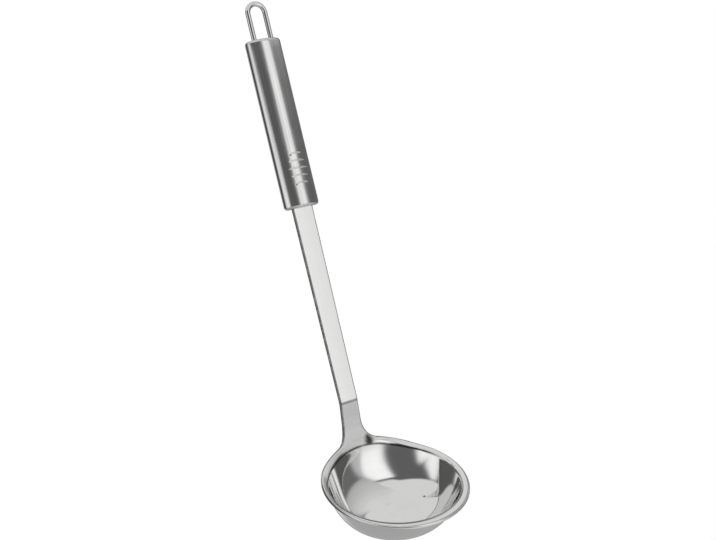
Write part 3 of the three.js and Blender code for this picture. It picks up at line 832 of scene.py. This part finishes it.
def add_turning_rings(material, centre, tilt, from_height):
    """Below a height, let the lines run round the bowl's axis, as on a part polished on a lathe."""
    tree = material.node_tree
    place = tree.nodes.new("ShaderNodeTexCoord")
    move = add_node(
        tree, "ShaderNodeMapping", vector_type="TEXTURE", Location=centre, Rotation=(tilt, 0, 0)
    )
    parts = tree.nodes.new("ShaderNodeSeparateXYZ")
    radius = add_node(tree, "ShaderNodeVectorMath", operation="LENGTH")
    flat = add_node(tree, "ShaderNodeVectorMath", operation="MULTIPLY")
    flat.inputs[1].default_value = (1, 1, 0)
    ring = tree.nodes.new("ShaderNodeCombineXYZ")
    turned = add_node(tree, "ShaderNodeVectorMath", operation="MULTIPLY_ADD")
    turned.inputs[1].default_value = (RINGS_WANDER, RINGS_WANDER, 0)
    noise = add_node(tree, "ShaderNodeTexNoise", Scale=1.0, Detail=4.0, Roughness=0.6)
    grow = add_node(tree, "ShaderNodeVectorMath", operation="SCALE", Scale=RINGS_FINENESS)
    height = tree.nodes.new("ShaderNodeSeparateXYZ")
    below = add_node(
        tree, "ShaderNodeMapRange",
        From_Min=from_height + RINGS_FADE, From_Max=from_height - RINGS_FADE,
    )
    pick = add_node(tree, "ShaderNodeMix", data_type="FLOAT")
    join(
        tree,
        (place, "Object", move, "Vector"),
        (move, "Vector", parts, "Vector"),
        (move, "Vector", flat, 0),
        (flat, "Vector", radius, 0),
        (radius, "Value", ring, "X"),
        (parts, "Z", ring, "Z"),
        (ring, "Vector", grow, 0),
        (flat, "Vector", turned, 0),
        (grow, "Vector", turned, 2),
        (turned, "Vector", noise, "Vector"),
        (place, "Object", height, "Vector"),
        (height, "Z", below, "Value"),
        (below, "Result", pick, "Factor"),
        (tree.nodes["lines"], "Lines", pick, "A"),
        (noise, "Fac", pick, "B"),
        (pick, "Result", tree.nodes["tone"], "Factor"),
        (pick, "Result", tree.nodes["ridge"], "Height"),
    )


def add_painted_shade(material, tint):
    """Paint shade and dark reflection over the steel's colour where the mesh is marked for it,
    unevenly.
    """
    tree = material.node_tree
    marked = add_node(tree, "ShaderNodeAttribute", attribute_name="painted_shade")
    place = tree.nodes.new("ShaderNodeTexCoord")
    uneven = add_node(tree, "ShaderNodeTexNoise", Scale=PAINTED_SHADE_FINENESS, Detail=3.0)
    thin = add_node(
        tree, "ShaderNodeMapRange", From_Min=PAINTED_SHADE_RANGE[0], From_Max=PAINTED_SHADE_RANGE[1]
    )
    cover = add_node(tree, "ShaderNodeMath", operation="MULTIPLY")
    paint = add_node(tree, "ShaderNodeMix", data_type="RGBA", B=(*tint, 1))
    join(
        tree,
        (place, "Object", uneven, "Vector"),
        (uneven, "Fac", thin, "Value"),
        (marked, "Fac", cover, 0),
        (thin, "Result", cover, 1),
        (cover, "Value", paint, "Factor"),
        (tree.nodes["tone"], "Result", paint, "A"),
        (paint, "Result", tree.nodes["Principled BSDF"], "Base Color"),
    )


def add_dull_bend(material, roughness):
    """Let the steel be rougher where the mesh is marked as dull."""
    tree = material.node_tree
    marked = add_node(tree, "ShaderNodeAttribute", attribute_name="dull")
    blend = add_node(tree, "ShaderNodeMix", data_type="FLOAT", B=roughness)
    join(
        tree,
        (marked, "Fac", blend, "Factor"),
        (tree.nodes["rough"], "Result", blend, "A"),
        (blend, "Result", tree.nodes["Principled BSDF"], "Roughness"),
    )


# Stage
def past(value, edge, softness):
    """Nothing before an edge and one past it, with a soft passage."""
    return (1 + np.tanh((value - edge) / softness / 2)) / 2


def before(value, edge, softness):
    """One before an edge and nothing past it, with a soft passage."""
    return past(-value, -edge, softness)


def studio_light(studio, turn, rise):
    """Brightness by direction in degrees, right of straight ahead and above level."""
    deg = math.degrees
    lean = turn + FRONT_BOX_LEAN * rise
    shown = studio.front_wall
    shown = shown + (studio.right_wall - studio.front_wall) * past(turn, *RIGHT_WALL_FROM)
    shown = shown + (studio.left_wall - studio.front_wall) * before(turn, *LEFT_WALL_TO)

    def lay(level, cover):
        """What is shown once something of this level covers it."""
        return shown + (level - shown) * cover

    # Wall and soft box behind the object
    shown = lay(studio.rear_wall, past(turn, *REAR_WALL_FROM) + before(turn, *REAR_WALL_TO))
    behind = past(turn, *REAR_BOX_FROM) + before(turn, *REAR_BOX_TO)
    shown = lay(studio.rear_box, behind * before(rise, *REAR_BOX_TOP))

    # Front soft box, which dims to the right and has a dimmer wing
    left, right, top = FRONT_BOX_SOFT
    box = past(turn + FRONT_BOX_LEFT_LEAN * rise, deg(studio.front_box_from), left)
    box = box * before(lean, deg(studio.front_box_to), right)
    box = box * before(rise, deg(studio.front_box_top), top)
    bright = studio.front_box * (1 - FRONT_BOX_DIM * np.maximum(0, turn - FRONT_BOX_DIM_FROM))
    wing = past(turn, deg(studio.wing_from), WING_SOFT)
    shown = lay(bright + (studio.wing - bright) * wing, box)

    # Low and tall soft boxes at the left
    front, top = STRIP_SOFT
    strip = before(turn, deg(studio.strip_to), front) * before(rise, deg(studio.strip_top), top)
    rear, front, top = LEFT_BOX_SOFT
    edge = deg(studio.left_box_to) - LEFT_BOX_LEAN * np.maximum(0, rise - LEFT_BOX_LEAN_FROM)
    tall = before(turn, edge, front) * before(rise, deg(studio.left_box_top), top)
    ahead = past(turn, deg(studio.left_box_from), rear)
    shown = lay(studio.left_box, ahead * np.maximum(strip, tall))

    # Cloth at the right, which grows lighter upwards
    cloth = past(rise, deg(studio.side_cloth_edge), CLOTH_SOFT)
    cloth = cloth * past(lean, *SIDE_CLOTH_FROM) * before(turn, *SIDE_CLOTH_TO)
    climb = (rise - CLOTH_CLIMB_FROM) / (deg(studio.side_top) - CLOTH_CLIMB_FROM)
    climb = np.clip(climb, 0, 1)
    shown = lay(studio.side_cloth + (studio.ceiling - studio.side_cloth) * climb, cloth)

    # Ceiling above the walls, whose height changes round the object
    top = deg(studio.wall_top)
    top = top + deg(studio.front_top - studio.wall_top) * past(turn, *FRONT_CEILING_FROM)
    top = top + deg(studio.side_top - studio.front_top) * past(lean, *SIDE_CEILING_FROM)
    top = top + deg(studio.rear_top - studio.side_top) * past(turn, *SIDE_CLOTH_TO)
    top = top + deg(studio.rear_top - studio.wall_top) * before(turn, *LEFT_REAR_TO)
    shown = lay(studio.ceiling, past(rise, top, CEILING_SOFT))

    # Table below, brighter in front and close by
    ahead = past(turn, *BRIGHT_GROUND_FROM) * before(turn, *BRIGHT_GROUND_TO)
    gain = GROUND_GAIN + NEAR_GROUND_GAIN * before(rise, *NEAR_GROUND_TOP)
    ground = studio.ground * (1 + ahead * gain)
    return lay(ground, before(rise, deg(studio.ground_edge), GROUND_SOFT))


def studio_dome(scene, centre):
    """Walls, soft boxes, ceiling cloth and table round the object, seen only in reflections."""
    turn = np.radians(np.arange(-180, 180, DOME_TURN_STEP))
    rise = np.radians(np.arange(-90, 90 + DOME_RISE_STEP, DOME_RISE_STEP))
    turns, rises = np.meshgrid(turn, rise)
    level = np.cos(rises)
    points = np.stack([np.sin(turns) * level, -np.cos(turns) * level, np.sin(rises)], -1)
    points = points * DOME_RADIUS + np.asarray(centre)
    shown = studio_light(scene.ladle_studio, np.degrees(turns), np.degrees(rises))
    rows = np.arange(turns.size).reshape(turns.shape)
    skin = MeshRows()
    skin.bands(rows.tolist(), True)
    mesh = bpy.data.meshes.new("studio_dome")
    mesh.from_pydata(points.reshape(-1, 3).tolist(), [], skin.faces)
    mark(mesh, "light", shown.ravel())
    obj = show(scene, "studio_dome", mesh)
    for ray in ("camera", "diffuse", "shadow", "transmission"):
        setattr(obj, "visible_" + ray, False)
    material = bpy.data.materials.new("studio_light")
    material.use_nodes = True
    tree = material.node_tree
    tree.nodes.remove(tree.nodes["Principled BSDF"])
    light = add_node(tree, "ShaderNodeAttribute", attribute_name="light")
    glow = tree.nodes.new("ShaderNodeEmission")
    join(
        tree,
        (light, "Fac", glow, "Color"),
        (glow, "Emission", tree.nodes["Material Output"], "Surface"),
    )
    mesh.materials.append(material)


# Steps
class LADLE_OT_bowl_and_stem(bpy.types.Operator):
    """Make the polished sheet of bowl, rim, neck and stem"""

    bl_idname = "ladle.bowl_and_stem"
    bl_label = "Bowl and stem"

    def execute(self, context):
        scene = context.scene
        look = scene.ladle_finishes
        material = steel(
            "polished_steel", look.polished, look.polished_roughness,
            stretch=(850, 850, 12), patch_scale=60, line_share=0.06, patch_share=0.3, bump=0.000003,
        )
        _, _, crease_z = heights(scene)
        sizes = scene.ladle_sheet
        centre = (0, scene.ladle_loop.forward - sizes.rim_reach, crease_z - sizes.rim_drop)
        add_turning_rings(material, centre, sizes.rim_tilt, crease_z - RINGS_BELOW_CREASE)
        # Painted shade in the lip, crease and flare corner, and painted dark reflection on the cut
        # edges
        add_painted_shade(material, look.painted_shade)
        add_dull_bend(material, look.dull_roughness)
        piece(scene, "ladle_bowl_and_stem", bowl_and_stem_mesh(scene), "bowl_and_stem",
              material)
        return {"FINISHED"}


class LADLE_OT_handle(bpy.types.Operator):
    """Make the satin oval handle with its thumb grooves"""

    bl_idname = "ladle.handle"
    bl_label = "Handle"

    def execute(self, context):
        scene = context.scene
        look = scene.ladle_finishes
        material = steel(
            "satin_steel", look.satin, look.satin_roughness,
            stretch=(850, 850, 14), patch_scale=50, line_share=0.4, patch_share=0.25, bump=0.000012,
        )
        piece(scene, "ladle_handle", handle_mesh(scene), "handle_tube", material)
        finish_solids(("lower_end_cap", "upper_end_cap"), material)
        return {"FINISHED"}


class LADLE_OT_hanging_loop(bpy.types.Operator):
    """Make the hanging loop of drawn wire"""

    bl_idname = "ladle.hanging_loop"
    bl_label = "Hanging loop"

    def execute(self, context):
        scene = context.scene
        look = scene.ladle_finishes
        material = steel(
            "wire_steel", look.wire, look.wire_roughness,
            stretch=(1200, 1200, 40), patch_scale=120,
            line_share=0.15, patch_share=0.3, bump=0.000003,
        )
        piece(scene, "ladle_hanging_loop", loop_mesh(scene), "hanging_loop", material)
        return {"FINISHED"}


class LADLE_OT_beads(bpy.types.Operator):
    """Finish the beads inside the handle"""

    bl_idname = "ladle.beads"
    bl_label = "Beads"

    def execute(self, context):
        look = context.scene.ladle_finishes
        material = steel(
            "weld_steel", look.bead, look.bead_roughness,
            stretch=(900, 900, 900), patch_scale=300, line_share=0.4, patch_share=0.3, bump=0.00003,
        )
        finish_solids(("stem_weld", "loop_weld_left", "loop_weld_right"), material)
        return {"FINISHED"}


class LADLE_OT_stage(bpy.types.Operator):
    """Set the floor, the studio's light and the camera"""

    bl_idname = "ladle.stage"
    bl_label = "Stage"

    def execute(self, context):
        scene = context.scene
        scene.view_settings.view_transform = "Standard"
        self.camera(scene)
        self.surroundings(scene)
        return {"FINISHED"}

    def camera(self, scene):
        """Stand the camera where the photograph was taken."""
        studio = scene.ladle_studio
        _, _, crease_z = heights(scene)
        az, el, roll = studio.azimuth, studio.elevation, studio.roll
        back = Vector((-math.sin(az) * math.cos(el), -math.cos(az) * math.cos(el), math.sin(el)))
        right = Vector((math.cos(az), -math.sin(az), 0))
        up = back.cross(right)
        across = right * math.cos(roll) - up * math.sin(roll)
        upright = right * math.sin(roll) + up * math.cos(roll)
        target = Vector((studio.target_x, scene.ladle_loop.forward, crease_z + studio.target_rise))
        data = bpy.data.cameras.new("camera")
        data.lens = studio.lens
        data.sensor_width = SENSOR_WIDTH
        data.sensor_fit = "HORIZONTAL"
        data.clip_start = NEAREST_SEEN
        turn = Matrix((across, upright, back)).transposed().to_4x4()
        scene.camera = show(scene, "camera", data)
        scene.camera.matrix_world = Matrix.Translation(target + back * studio.distance) @ turn

    def surroundings(self, scene):
        """White paper all round, with the studio for reflections and a floor."""
        world = bpy.data.worlds.new("studio")
        scene.world = world
        world.use_nodes = True
        paper = world.node_tree.nodes["Background"]
        paper.inputs["Color"].default_value = (1, 1, 1, 1)
        paper.inputs["Strength"].default_value = 1.0

        low, high = CAD_BOX
        studio_dome(scene, [(a + b) / 2 for a, b in zip(low, high)])
        self.floor(scene, low[2] - FLOOR_DROP)

    def floor(self, scene, height):
        """White floor far below; reflections show the studio's own table instead."""
        reach = FLOOR_REACH
        mesh = bpy.data.meshes.new("floor")
        square = [(-reach, -reach), (reach, -reach), (reach, reach), (-reach, reach)]
        mesh.from_pydata([(x, y, height) for x, y in square], [], [(0, 1, 2, 3)])
        obj = show(scene, "floor", mesh)
        obj.visible_glossy = False
        material = bpy.data.materials.new("pale_floor")
        material.use_nodes = True
        paint = material.node_tree.nodes["Principled BSDF"]
        paint.inputs["Base Color"].default_value = (1, 1, 1, 1)
        paint.inputs["Roughness"].default_value = 1.0
        paint.inputs["Specular IOR Level"].default_value = 0.0
        mesh.materials.append(material)


OPERATORS = (
    LADLE_OT_bowl_and_stem,
    LADLE_OT_handle,
    LADLE_OT_hanging_loop,
    LADLE_OT_beads,
    LADLE_OT_stage,
)
GROUPS = {
    "ladle_sheet": SheetSizes,
    "ladle_handle": HandleSizes,
    "ladle_loop": LoopSizes,
    "ladle_finishes": Finishes,
    "ladle_studio": Studio,
}


class LADLE_PT_panel(bpy.types.Panel):
    """Sizes, finishes and steps of the ladle"""

    bl_idname = "LADLE_PT_panel"
    bl_label = "Steel ladle"
    bl_space_type = "VIEW_3D"
    bl_region_type = "UI"
    bl_category = "Ladle"

    def draw(self, context):
        for operator in OPERATORS:
            self.layout.operator(operator.bl_idname)
        for name, group in GROUPS.items():
            box = self.layout.box()
            for key in group.__annotations__:
                box.prop(getattr(context.scene, name), key)


CLASSES = (*GROUPS.values(), *OPERATORS, LADLE_PT_panel)


def register():
    for cls in CLASSES:
        bpy.utils.register_class(cls)
    for name, group in GROUPS.items():
        setattr(bpy.types.Scene, name, bpy.props.PointerProperty(type=group))


def unregister():
    for name in GROUPS:
        delattr(bpy.types.Scene, name)
    for cls in reversed(CLASSES):
        bpy.utils.unregister_class(cls)


def main():
    register()
    bpy.ops.ladle.bowl_and_stem()
    bpy.ops.ladle.handle()
    bpy.ops.ladle.hanging_loop()
    bpy.ops.ladle.beads()
    bpy.ops.ladle.stage()


if __name__ == "__main__":
    main()
